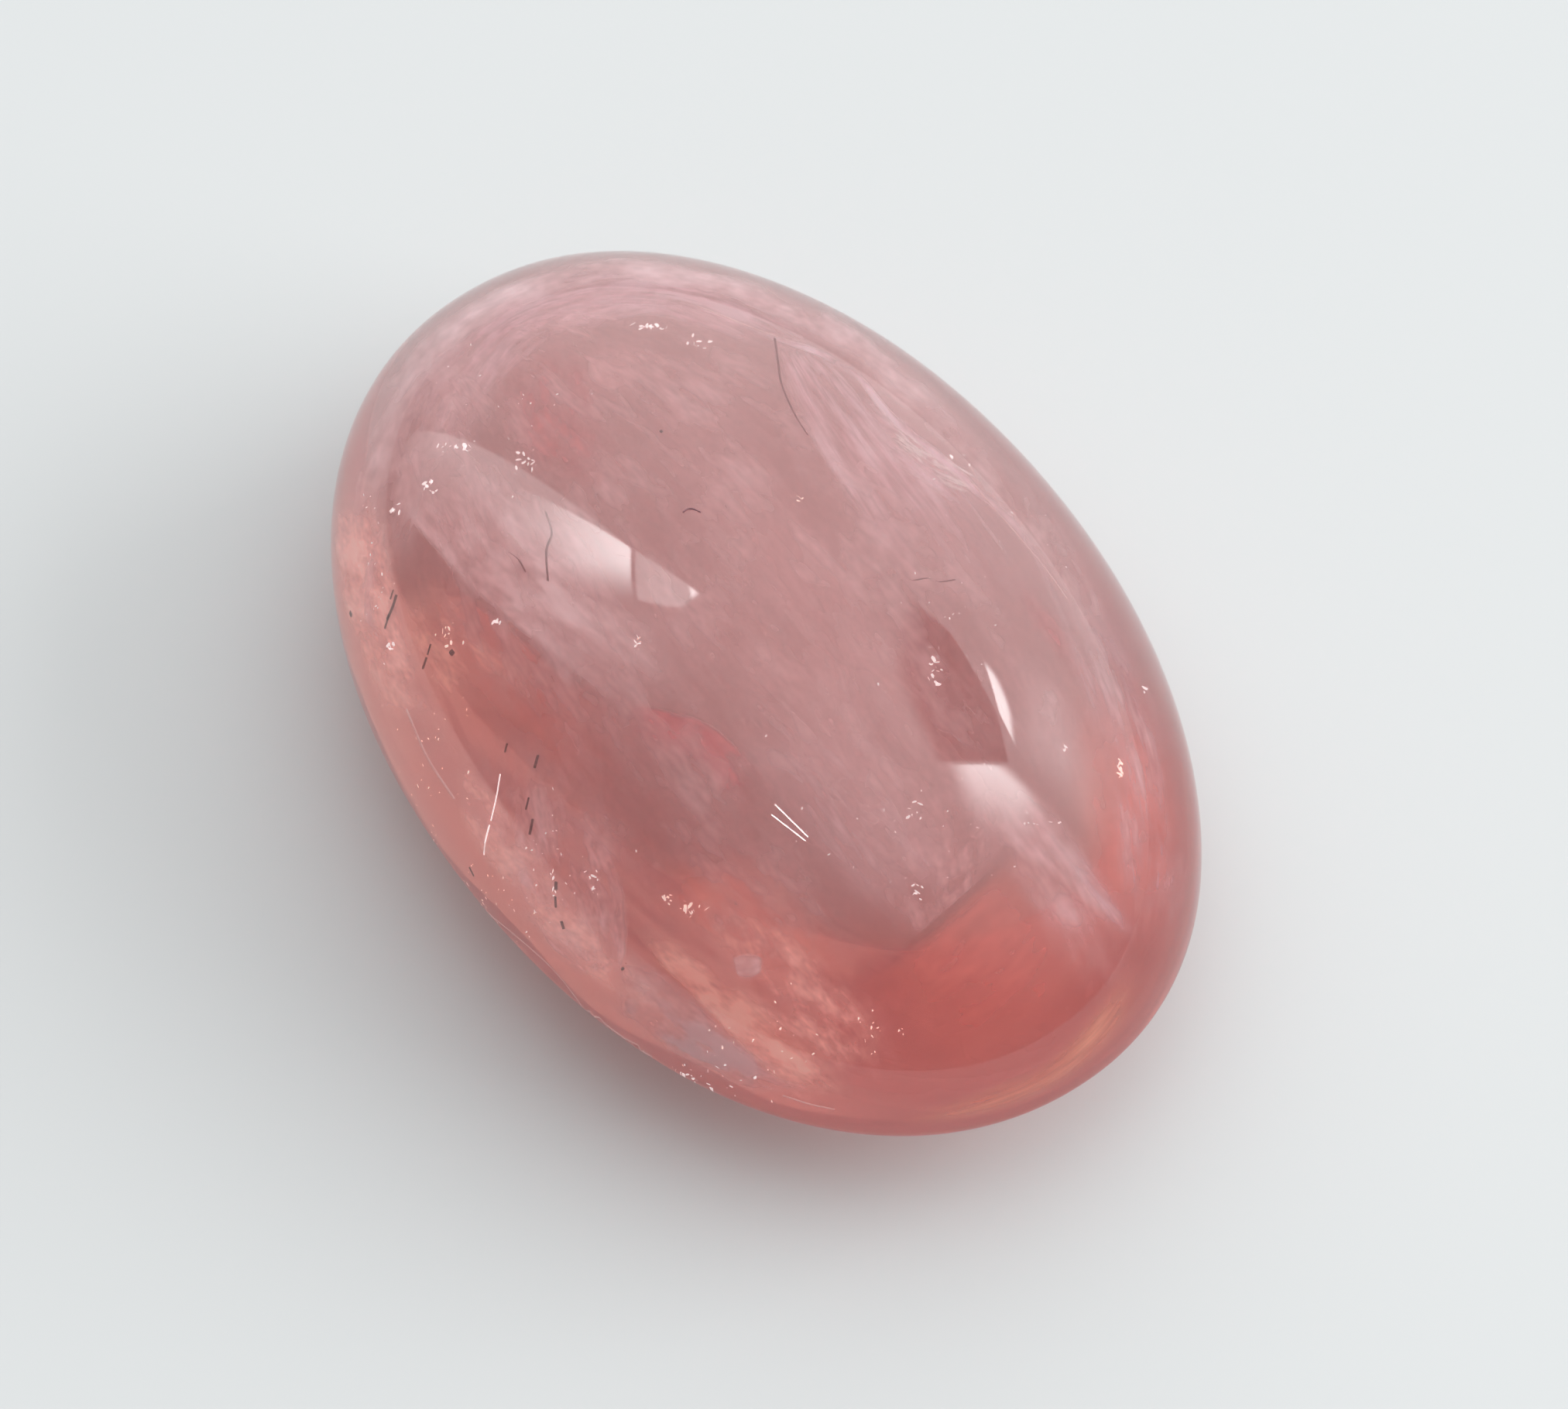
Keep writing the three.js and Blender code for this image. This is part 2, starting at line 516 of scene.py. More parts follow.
def make_veil_materials():
    """The kinds of veil, each with the sizes of its clouds and of its fibres, along and across a sheet. Where
    they glow, the glow is painted light.
    """
    veil_material("milky_veil", MILKY, (2.0 * MM, 1.1 * MM), (1.2 * MM, 0.4 * MM), 0.7, 0.3, glow=0.04)
    veil_material("lilac_veil", LILAC, (1.8 * MM, 0.7 * MM), (1.6 * MM, 0.25 * MM), 0.7, 0.5)
    veil_material("grey_veil", GREYISH, (1.2 * MM, 0.7 * MM), (0.6 * MM, 0.25 * MM), 0.7, 0.5, glow=0.1)
    veil_material("pale_veil", PALE, (1.6 * MM, 0.9 * MM), (0.9 * MM, 0.3 * MM), 0.5, 0.3, glow=0.18)
    # The peach veils are partly wisps and mostly painted light: peach and glowing where the stone focuses
    # light on its lower left side.
    veil_material("peach_painted_light_veil", PEACH, (1.1 * MM, 0.7 * MM), (0.6 * MM, 0.25 * MM), 0.6, 0.3, glow=0.2)
    veil_material(
        "pale_peach_painted_light_veil", PALE_PEACH, (0.9 * MM, 0.6 * MM), (0.5 * MM, 0.25 * MM), 0.6, 0.35, glow=0.27,
    )
    # The rim light is painted light: a golden glowing band for the caustic along the lower right rim.
    veil_material("rim_light", GOLDEN, (5.0 * MM, 0.5 * MM), (2.5 * MM, 0.15 * MM), 0.4, 0.3, glow=0.15)
    veil_material("mottled_veil", MILKY, (2.2 * MM, 1.2 * MM), (0.8 * MM, 0.35 * MM), 1.0, 0.5)
    veil_material("feather_veil", WHITE, (0.9 * MM, 0.3 * MM), (1.0 * MM, 0.14 * MM), 0.7, 0.8, ridged=True)
    veil_material("coral_zone", CORAL, (3.0 * MM, 2.0 * MM), (1.0 * MM, 0.5 * MM), 0.25, 0.15, glow=0.09)
    veil_material("red_zone", RED, (1.1 * MM, 0.8 * MM), (0.8 * MM, 0.35 * MM), 0.6, 0.4, glow=0.03)


# Each row for a veil says its name, its two edges, its depths at them, the shares over which it fades at
# its ends and at its sides, its material and its strength.

# The mottled milkiness all through the stone, and the clouds in its middle
LIGHT_MOTTLE = (
    ((500, 470), (462, 640), (500, 860), (590, 1060), (720, 1225), (860, 1330), (980, 1390)),
    ((600, 385), (850, 345), (1050, 400), (1230, 520), (1380, 680), (1490, 890), (1530, 1080)),
)
MIDDLE_VEIL = (
    (
        (700, 560), (740, 700), (800, 850), (900, 950),
        (980, 1050), (1050, 1130), (1100, 1190), (1149, 1245),
    ),
    (
        (1000, 480), (1090, 620), (1170, 750), (1240, 860),
        (1300, 960), (1320, 1030), (1310, 1080), (1290, 1115),
    ),
)
INNER_CLOUD = (
    ((780, 470), (830, 560), (890, 700), (980, 820), (1020, 900), (1070, 980), (1100, 1060)),
    ((980, 440), (1040, 560), (1100, 680), (1140, 800), (1170, 900), (1200, 980), (1230, 1060)),
)
MAUVE_CLOUD = (
    ((880, 960), (940, 1000), (1000, 1080), (1060, 1160), (1120, 1240)),
    ((1090, 900), (1160, 960), (1210, 1030), (1250, 1100), (1270, 1150)),
)
MIDDLE_VEILS = (
    ("light_mottle", LIGHT_MOTTLE, (0.9, 0.9), (0.2, 0.35), (0.25, 0.25), "mottled_veil", 0.24),
    ("middle_veil", MIDDLE_VEIL, (2.4, 2.0), (0.4, 0.015), (0.45, 0.3), "milky_veil", 0.38),
    ("inner_cloud", INNER_CLOUD, (1.5, 1.4), (0.4, 0.4), (0.4, 0.4), "milky_veil", 0.25),
    ("mauve_cloud", MAUVE_CLOUD, (1.6, 1.7), (0.35, 0.35), (0.35, 0.35), "lilac_veil", 0.25),
)


# The lilac bands that run along the upper side, and the cloud behind the long crack
UPPER_BAND = (
    ((445, 640), (488, 502), (578, 412), (690, 356), (820, 338), (940, 356), (1050, 400), (1140, 456)),
    ((600, 690), (610, 560), (650, 470), (715, 425), (800, 405), (880, 415), (970, 455), (1040, 520)),
)
TOP_RIM_HAZE = (
    (
        (450, 620), (480, 505), (560, 414), (670, 355), (800, 328),
        (930, 348), (1045, 386), (1140, 440), (1250, 530), (1360, 640),
    ),
    (
        (500, 640), (530, 540), (600, 455), (690, 398), (800, 372),
        (920, 390), (1020, 428), (1110, 482), (1210, 568), (1310, 672),
    ),
)
UPPER_ARC = (
    ((545, 600), (590, 500), (640, 432), (695, 396), (760, 374), (830, 370), (905, 392), (996, 436)),
    ((620, 640), (640, 540), (688, 476), (740, 440), (795, 424), (850, 416), (915, 440), (1004, 476)),
)
LEFT_CLOUD = (
    ((433, 750), (436, 680), (454, 590), (490, 515), (548, 450), (620, 400)),
    ((525, 790), (545, 720), (578, 640), (618, 570), (660, 505), (710, 450)),
)
UPPER_TRIANGLE = (
    ((742, 448), (750, 480), (762, 500), (790, 510)),
    ((812, 418), (848, 436), (852, 470), (832, 500)),
)
UPPER_RIGHT_CLOUD = (
    ((996, 441), (1003, 470), (1022, 520), (1045, 565), (1085, 635), (1126, 700), (1155, 741), (1200, 800)),
    ((1070, 446), (1130, 486), (1190, 536), (1250, 596), (1310, 656), (1360, 720), (1400, 790), (1430, 860)),
)
UPPER_RIGHT_RIM = (
    ((980, 366), (1090, 415), (1180, 474), (1262, 540), (1336, 616), (1398, 698), (1450, 790), (1490, 890)),
    ((950, 420), (1060, 470), (1140, 530), (1220, 600), (1290, 680), (1346, 760), (1396, 850), (1430, 930)),
)
UPPER_RIGHT_LINE = (
    ((900, 392), (992, 428), (1052, 446), (1108, 477), (1158, 532), (1256, 614), (1344, 716), (1439, 958)),
    ((898, 402), (990, 440), (1050, 460), (1102, 491), (1150, 548), (1246, 632), (1332, 730), (1427, 966)),
)
UPPER_VEILS = (
    ("upper_band", UPPER_BAND, (0.7, 1.5), (0.35, 0.35), (0.5, 0.3), "lilac_veil", 0.8),
    ("top_rim_haze", TOP_RIM_HAZE, (0.4, 0.7), (0.3, 0.3), (0.3, 0.5), "pale_veil", 0.56),
    ("upper_arc", UPPER_ARC, (1.2, 1.5), (0.35, 0.2), (0.35, 0.5), "lilac_veil", 0.7),
    ("left_cloud", LEFT_CLOUD, (0.8, 1.6), (0.35, 0.4), (0.2, 0.5), "pale_veil", 0.52),
    ("upper_triangle", UPPER_TRIANGLE, (1.6, 1.5), (0.5, 0.2), (0.2, 0.6), "milky_veil", 0.5),
    ("upper_right_cloud", UPPER_RIGHT_CLOUD, (1.3, 1.0), (0.15, 0.5), (0.04, 0.6), "lilac_veil", 0.5),
    ("upper_right_rim", UPPER_RIGHT_RIM, (0.7, 0.9), (0.3, 0.3), (0.45, 0.45), "pale_veil", 0.35),
    ("upper_right_line", UPPER_RIGHT_LINE, (0.8, 0.8), (0.3, 0.3), (0.5, 0.5), "lilac_veil", 0.7),
)


# Veils with sharper borders at the left, and the painted peach and golden light along the lower rim
LEFT_VEIL = (
    ((500, 640), (561, 712), (596, 753), (643, 794), (702, 841), (780, 905), (850, 950)),
    ((580, 560), (640, 590), (700, 640), (780, 700), (850, 770), (920, 830), (970, 880)),
)
THREE_SIDED_VEIL = (
    ((773, 939), (785, 1033), (796, 1103), (811, 1162), (810, 1225), (800, 1258)),
    ((620, 900), (580, 990), (590, 1070), (628, 1145), (680, 1215), (742, 1262)),
)
# Painted light: the peach light that the stone focuses on its left edge and its lower left rim.
LEFT_EDGE_LIGHT = (
    ((436, 600), (430, 680), (440, 770), (470, 860), (505, 950), (550, 1040)),
    ((520, 620), (515, 710), (535, 790), (570, 870), (610, 950), (650, 1030)),
)
LOWER_LEFT_RIM_LIGHT = (
    ((520, 930), (570, 1030), (630, 1130), (700, 1215), (780, 1290), (870, 1350)),
    ((600, 900), (650, 1010), (710, 1100), (775, 1180), (845, 1245), (930, 1305)),
)
LEFT_EDGE_STREAK = (
    ((502, 690), (488, 745), (486, 795), (500, 835)),
    ((478, 705), (463, 755), (466, 800), (482, 828)),
)
BOTTOM_WISP = (
    ((805, 1190), (850, 1245), (905, 1300), (955, 1350), (1005, 1398), (1045, 1432)),
    ((870, 1180), (930, 1225), (990, 1280), (1045, 1335), (1095, 1385), (1130, 1420)),
)
BOTTOM_CLOUD = (
    ((740, 1270), (800, 1325), (870, 1370), (950, 1408), (1030, 1432)),
    ((800, 1200), (860, 1250), (925, 1310), (1000, 1365), (1080, 1405)),
)
GREY_FLAKE = (
    ((943, 1238), (956, 1232), (972, 1231), (988, 1238)),
    ((951, 1262), (962, 1268), (974, 1266), (985, 1256)),
)
LOWER_CLOUD = (
    ((830, 1120), (870, 1200), (930, 1290), (1000, 1360), (1060, 1410)),
    ((990, 1070), (1050, 1150), (1110, 1230), (1160, 1310), (1190, 1400)),
)
# Painted light: the peach glow inside the left side.
LEFT_PAINTED_PEACH_LIGHT = (
    ((492, 760), (515, 830), (550, 900), (600, 970)),
    ((560, 728), (610, 790), (668, 850), (730, 905)),
)
LOWER_CORAL_ZONE = (
    ((800, 1120), (850, 1190), (920, 1260), (1000, 1320)),
    ((960, 1060), (1030, 1120), (1090, 1190), (1140, 1260)),
)
# Painted light: the golden caustic along the lower right rim.
PAINTED_RIM_CAUSTIC = (
    ((1150, 1462), (1240, 1450), (1330, 1424), (1402, 1382), (1460, 1324), (1505, 1240)),
    ((1165, 1428), (1245, 1410), (1312, 1384), (1370, 1342), (1416, 1288), (1454, 1216)),
)
LOWER_VEILS = (
    ("left_veil", LEFT_VEIL, (1.6, 1.0), (0.15, 0.5), (0.03, 0.5), "pale_veil", 0.8),
    ("three_sided_veil", THREE_SIDED_VEIL, (1.2, 0.8), (0.4, 0.05), (0.03, 0.4), "grey_veil", 0.44),
    # Painted peach light on the left edge and the lower left rim.
    ("left_edge_light", LEFT_EDGE_LIGHT, (0.5, 0.9), (0.25, 0.7), (0.1, 0.5), "pale_peach_painted_light_veil", 0.72),
    (
        "lower_left_rim_light", LOWER_LEFT_RIM_LIGHT, (0.5, 0.9), (0.3, 0.3), (0.3, 0.5),
        "pale_peach_painted_light_veil", 0.4,
    ),
    ("left_edge_streak", LEFT_EDGE_STREAK, (0.6, 0.5), (0.4, 0.4), (0.4, 0.5), "grey_veil", 0.5),
    # Peach wisps at the bottom, partly painted light.
    ("bottom_wisp", BOTTOM_WISP, (1.0, 1.2), (0.3, 0.3), (0.1, 0.6), "peach_painted_light_veil", 0.8),
    ("bottom_cloud", BOTTOM_CLOUD, (0.7, 1.2), (0.3, 0.3), (0.35, 0.4), "mottled_veil", 0.65),
    ("grey_flake", GREY_FLAKE, (0.9, 1.0), (0.15, 0.2), (0.1, 0.3), "pale_veil", 0.6),
    # Pale peach cloud, partly painted light.
    ("lower_cloud", LOWER_CLOUD, (1.3, 1.5), (0.4, 0.3), (0.35, 0.45), "pale_peach_painted_light_veil", 0.42),
    # Painted peach light inside the left side.
    ("left_peach_cloud", LEFT_PAINTED_PEACH_LIGHT, (0.9, 1.3), (0.35, 0.4), (0.35, 0.15), "peach_painted_light_veil", 0.4),
    ("lower_coral_zone", LOWER_CORAL_ZONE, (1.4, 1.6), (0.35, 0.4), (0.35, 0.45), "coral_zone", 0.6),
    # Painted light: the golden caustic along the lower right rim.
    ("golden_rim", PAINTED_RIM_CAUSTIC, (0.5, 0.7), (0.3, 0.3), (0.4, 0.5), "rim_light", 0.6),
)


# Feathers and wisps on the right, beside and below the window's reflection
WHITE_FEATHER = (
    ((1118, 512), (1158, 542), (1198, 572), (1268, 614)),
    ((1140, 572), (1180, 604), (1215, 632), (1256, 644)),
)
FEATHER_HAZE = (
    ((1090, 480), (1150, 525), (1210, 575), (1290, 640)),
    ((1120, 580), (1170, 620), (1220, 660), (1270, 700)),
)
RIGHT_STREAKS = (
    ((1280, 700), (1340, 800), (1385, 900), (1415, 1010), (1430, 1120), (1430, 1220)),
    ((1420, 740), (1480, 850), (1520, 970), (1540, 1090), (1535, 1180), (1510, 1260)),
)
RIGHT_PATCH = (
    ((1270, 840), (1300, 900), (1318, 965), (1330, 1040)),
    ((1350, 820), (1400, 890), (1420, 965), (1410, 1050)),
)
RIGHT_WISPS = (
    ((1190, 990), (1250, 1070), (1305, 1150), (1350, 1230), (1390, 1300)),
    ((1340, 970), (1385, 1050), (1435, 1130), (1470, 1220), (1480, 1290)),
)
LOWER_RIGHT_WISP = (
    ((1350, 1085), (1385, 1135), (1425, 1190), (1450, 1225)),
    ((1392, 1080), (1430, 1130), (1464, 1180), (1480, 1215)),
)
LOWER_RIGHT_PUFF = (
    ((1320, 1150), (1345, 1190), (1375, 1220)),
    ((1375, 1130), (1405, 1165), (1420, 1200)),
)
RIGHT_VEILS = (
    ("feather_haze", FEATHER_HAZE, (1.0, 1.1), (0.4, 0.4), (0.4, 0.4), "lilac_veil", 0.6),
    ("white_feather", WHITE_FEATHER, (0.9, 1.0), (0.5, 0.15), (0.25, 0.5), "feather_veil", 0.95),
    ("right_streaks", RIGHT_STREAKS, (1.0, 0.7), (0.3, 0.35), (0.4, 0.3), "lilac_veil", 0.25),
    ("right_patch", RIGHT_PATCH, (0.9, 0.9), (0.4, 0.5), (0.35, 0.5), "pale_veil", 0.2),
    ("right_wisps", RIGHT_WISPS, (1.1, 1.0), (0.3, 0.5), (0.3, 0.4), "milky_veil", 0.5),
    ("lower_right_wisp", LOWER_RIGHT_WISP, (0.8, 0.8), (0.35, 0.4), (0.4, 0.5), "lilac_veil", 0.4),
    ("lower_right_puff", LOWER_RIGHT_PUFF, (0.9, 0.9), (0.45, 0.45), (0.45, 0.45), "milky_veil", 0.6),
)


# Zones of deeper colour between the veils
UPPER_RED_ZONE = (
    ((640, 440), (630, 500), (645, 570), (690, 620), (760, 650)),
    ((770, 410), (790, 470), (800, 540), (820, 590), (860, 620)),
)
LEFT_RED_ZONE = (
    ((561, 716), (596, 757), (643, 799), (702, 846), (775, 905), (850, 955)),
    ((500, 770), (530, 860), (580, 940), (650, 1010), (730, 1060), (810, 1090)),
)
MIDDLE_RED_STREAK = (
    ((800, 905), (850, 914), (905, 928), (955, 966), (1005, 1026)),
    ((800, 975), (850, 985), (895, 1005), (935, 1040), (975, 1085)),
)
RIGHT_RED_CURVE = (
    ((1300, 715), (1350, 775), (1400, 845), (1445, 910), (1468, 985)),
    ((1290, 755), (1335, 820), (1380, 880), (1420, 940), (1440, 1000)),
)
RIGHT_RED_ZONE = (
    ((1340, 830), (1362, 930), (1370, 1030), (1378, 1130), (1385, 1240)),
    ((1470, 840), (1515, 960), (1535, 1070), (1535, 1160), (1505, 1260)),
)
CORAL_END = (
    ((1090, 1290), (1149, 1245), (1190, 1212), (1243, 1162), (1290, 1117), (1340, 1060)),
    ((1100, 1445), (1210, 1445), (1315, 1412), (1410, 1340), (1475, 1240), (1505, 1130)),
)
RED_ZONES = (
    ("coral_end", CORAL_END, (1.6, 0.8), (0.5, 0.5), (0.06, 0.5), "coral_zone", 0.52),
    ("upper_red_zone", UPPER_RED_ZONE, (2.0, 2.0), (0.35, 0.45), (0.35, 0.45), "red_zone", 0.45),
    ("left_red_zone", LEFT_RED_ZONE, (1.6, 1.8), (0.35, 0.45), (0.03, 0.6), "coral_zone", 0.5),
    ("middle_red_streak", MIDDLE_RED_STREAK, (1.4, 1.5), (0.35, 0.4), (0.1, 0.6), "red_zone", 1.1),
    ("right_red_curve", RIGHT_RED_CURVE, (1.1, 1.0), (0.3, 0.4), (0.4, 0.5), "red_zone", 0.3),
    ("right_red_zone", RIGHT_RED_ZONE, (1.2, 0.8), (0.35, 0.35), (0.35, 0.3), "coral_zone", 0.5),
)


def make_veils():
    for veil in (*MIDDLE_VEILS, *UPPER_VEILS, *LOWER_VEILS, *RIGHT_VEILS, *RED_ZONES):
        add_veil(*veil)


# Small inclusions: flakes, tubes and cracks

PATCHES_PER_METRE = 9000
PATCH_DETAIL = 3
PATCH_RANGE = (0.35, 0.65)
# The length of a flake and its depth are in shares of what its cluster says.
FLAKE_LENGTH = 1.5
FLAKE_SIZES = (0.5, 1.3)
FLAKE_DEPTHS = (0.8, 1.2)
FLAKE_SLIMNESS = 0.5
FLAKE_CORNERS = 5
FLAKE_UNEVENNESS = 0.3
TUBE_SIDES = 6
NEEDLE_STEP, FEWEST_NEEDLE_STEPS = 8, 2
CRACK_STEP, FEWEST_CRACK_STEPS = 6, 4


def inclusion_material(name, first, second, roughness, alpha=1, glow=0):
    """A material whose colour changes between two from patch to patch."""
    material, nodes, links = new_material(name)
    surface = nodes["Principled BSDF"]
    place = nodes.new("ShaderNodeTexCoord").outputs["Object"]
    patches = add_noise(nodes, links, place, [PATCHES_PER_METRE] * 3, PATCH_DETAIL)
    patches = remap(nodes, links, patches.outputs["Fac"], PATCH_RANGE, (0, 1))
    mix_colours(nodes, links, surface, patches, first, second)
    # The glow is painted light.
    set_inputs(surface, {"Roughness": roughness, "Alpha": alpha, "Emission Strength": glow})
    material.cycles.emission_sampling = "NONE"
    return material


def add_inclusion(name, points, faces, material):
    piece = add_mesh(name, points, faces, material, smooth=False)
    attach(piece, "root")


def add_flakes(name, clusters, material):
    """Tiny flat flakes, scattered over clusters."""
    rough = random.Random(name)
    points, faces = [], []
    for middle, spread, size, depth, count in clusters:
        for _ in range(count):
            pixel = (rough.gauss(middle[0], spread[0] / 2), rough.gauss(middle[1], spread[1] / 2))
            centre = inside_point(pixel, depth * rough.uniform(*FLAKE_DEPTHS) * MM)
            turned = Quaternion([rough.gauss(0, 1) for _ in range(4)])
            turned.normalize()
            reach = FLAKE_LENGTH * size * PIXEL * rough.uniform(*FLAKE_SIZES) / 2
            start = len(points)
            for corner in range(FLAKE_CORNERS):
                shift = rough.uniform(-FLAKE_UNEVENNESS, FLAKE_UNEVENNESS)
                turn = 2 * math.pi * (corner + shift) / FLAKE_CORNERS
                flat = Vector((reach * math.cos(turn), FLAKE_SLIMNESS * reach * math.sin(turn), 0))
                points.append(centre + turned @ flat)
            faces.append(tuple(range(start, start + FLAKE_CORNERS)))
    add_inclusion(name, points, faces, material)


def thin_tube(points, faces, path, radius):
    """A closed tube along a path of points."""
    start = len(points)
    for i, place in enumerate(path):
        ahead = (path[min(i + 1, len(path) - 1)] - path[max(i - 1, 0)]).normalized()
        side = ahead.cross(CAMERA_BACK).normalized()
        up = side.cross(ahead)
        for j in range(TUBE_SIDES):
            turn = 2 * math.pi * j / TUBE_SIDES
            points.append(place + (side * math.cos(turn) + up * math.sin(turn)) * radius)
    for i in range(len(path) - 1):
        ring = start + i * TUBE_SIDES
        for j in range(TUBE_SIDES):
            a, b = ring + j, ring + (j + 1) % TUBE_SIDES
            faces.append((a, b, b + TUBE_SIDES, a + TUBE_SIDES))
    end = len(points) - TUBE_SIDES
    faces.append(tuple(range(start + TUBE_SIDES - 1, start - 1, -1)))
    faces.append(tuple(range(end, len(points))))


def add_needles(name, lines, material):
    """Thin needles and growth tubes."""
    points, faces = [], []
    for stops, width, depth in lines:
        count = step_count(curve_length(stops), NEEDLE_STEP, FEWEST_NEEDLE_STEPS)
        path = [inside_point(pixel, depth * MM) for pixel in smooth_curve(stops, count + 1)]
        thin_tube(points, faces, path, width * PIXEL / 2)
    add_inclusion(name, points, faces, material)


def add_cracks(name, curves, lean, depths, material):
    """Thin cracks that go down from just below the surface, seen nearly edge on."""
    points, faces = [], []
    for stops in curves:
        count = step_count(curve_length(stops), CRACK_STEP, FEWEST_CRACK_STEPS)
        start = len(points)
        for pixel in smooth_curve(stops, count + 1):
            lower = pixel + Vector(lean)
            points.append(inside_point(pixel, depths[0] * MM))
            points.append(inside_point(lower, depths[1] * MM))
        for i in range(count):
            corner = start + 2 * i
            faces.append((corner, corner + 1, corner + 3, corner + 2))
    add_inclusion(name, points, faces, material)


# Each cluster of flakes is a middle, a spread and a size in pixels, a depth in mm and a count.
# The bright and golden flakes carry painted glints: they glow as if they caught the light.
BRIGHT_CLUSTERS = (
    ((585, 577), (24, 8), 6, 0.5, 16), ((555, 628), (14, 12), 6, 0.5, 10),
    ((512, 655), (10, 12), 5, 0.4, 8), ((843, 422), (22, 8), 6, 0.8, 18),
    ((902, 443), (18, 8), 5, 0.8, 12), ((680, 600), (28, 16), 5, 0.9, 14),
    ((641, 803), (6, 6), 5, 0.6, 6), ((822, 832), (8, 8), 4, 0.7, 6),
    ((1207, 860), (10, 26), 6, 0.8, 16), ((1178, 1052), (14, 18), 5, 1.0, 10),
    ((768, 1136), (6, 14), 5, 0.8, 8), ((715, 1150), (6, 30), 4, 0.7, 8),
    ((503, 834), (6, 6), 7, 0.5, 5), ((1184, 1152), (6, 18), 5, 0.6, 8),
    ((1225, 600), (24, 12), 6, 0.9, 14), ((1480, 890), (4, 8), 5, 0.3, 5),
    ((1375, 965), (8, 8), 4, 0.7, 5), ((1341, 1060), (30, 8), 4, 0.9, 8),
    ((650, 480), (150, 130), 2.5, 0.8, 40), ((480, 760), (30, 160), 3, 0.5, 30),
    ((1260, 760), (150, 130), 2.5, 0.8, 30), ((700, 1130), (90, 110), 3, 0.7, 40),
    ((1150, 1050), (220, 110), 2.5, 1.2, 40), ((900, 1390), (60, 30), 4, 0.5, 24),
)
GOLDEN_CLUSTERS = (
    ((863, 1158), (8, 10), 5, 1.0, 8), ((892, 1174), (16, 10), 5, 1.0, 14),
    ((1033, 643), (4, 4), 4, 0.8, 4), ((1125, 1330), (14, 40), 3, 1.2, 12),
    ((1447, 990), (4, 22), 5, 0.5, 12), ((825, 830), (10, 8), 4, 0.9, 6),
    ((1163, 1330), (10, 10), 3, 1.0, 4), ((622, 1165), (8, 8), 5, 0.4, 5),
    ((580, 820), (22, 16), 5, 0.7, 16), ((560, 990), (50, 120), 3, 0.6, 40),
    ((620, 1150), (60, 80), 3, 0.5, 24), ((960, 1340), (90, 70), 3, 0.9, 30),
)
# Each tube, needle or streak has its stops and its width in pixels, and its depth in mm.
DARK_TUBES = (
    (((512, 768), (507, 784), (500, 800)), 5, 0.7), (((508, 762), (504, 774)), 3, 0.7),
    (((502, 794), (497, 812)), 4, 0.6), (((556, 832), (552, 846)), 3, 0.6),
    (((551, 849), (546, 864)), 4, 0.6), (((655, 960), (652, 972)), 3, 0.8),
    (((695, 975), (690, 992)), 4, 0.8), (((688, 1058), (684, 1078)), 4, 0.8),
    (((683, 1030), (679, 1046)), 3, 0.8), (((718, 1139), (718, 1149)), 5, 0.6),
    (((717, 1158), (718, 1172)), 4, 0.6), (((725, 1190), (728, 1200)), 5, 0.6),
    (((582, 841), (585, 845)), 7, 0.3), (((452, 791), (454, 795)), 7, 0.2),
    (((803, 1250), (805, 1253)), 6, 0.3), (((606, 1120), (612, 1132)), 5, 0.2),
    (((853, 556), (855, 558)), 4, 0.2),
)
# The white needles glow: their brightness is partly painted light.
WHITE_NEEDLES = (
    (((646, 1000), (641, 1030), (634, 1060)), 2, 0.6),
    (((632, 1066), (627, 1085), (625, 1104)), 2.6, 0.6),
)
# Pale streaks that glow a little, partly painted light: glints and bright lines along the rim.
LIGHT_STREAKS = (
    (((525, 916), (552, 978), (587, 1032)), 4, 0.5),
    (((622, 1172), (712, 1250), (779, 1332), (841, 1370)), 3, 0.3),
    (((1011, 1415), (1045, 1426), (1078, 1433)), 2.5, 0.3),
    (((900, 395), (992, 431), (1052, 450)), 2, 0.8),
    (((1254, 622), (1341, 723), (1378, 773)), 2, 0.8),
)
CRACKS = (
    ((999, 436), (1003, 464), (1008, 496), (1024, 533), (1042, 562)),
    ((703, 660), (711, 688), (704, 711), (706, 750)),
    ((655, 712), (668, 722), (677, 738)),
    ((1165, 744), (1178, 749), (1196, 746), (1212, 751), (1232, 748)),
    ((795, 716), (806, 718), (815, 722)),
)
CRACK_LEAN = (3, 1.2)
CRACK_DEPTHS = (0.15, 0.4)
LINT = ((882, 662), (888, 658), (896, 658), (905, 662))
LINT_POINTS = 13
LINT_RADIUS = 0.012 * MM
LINT_HEIGHT = 0.008 * MM


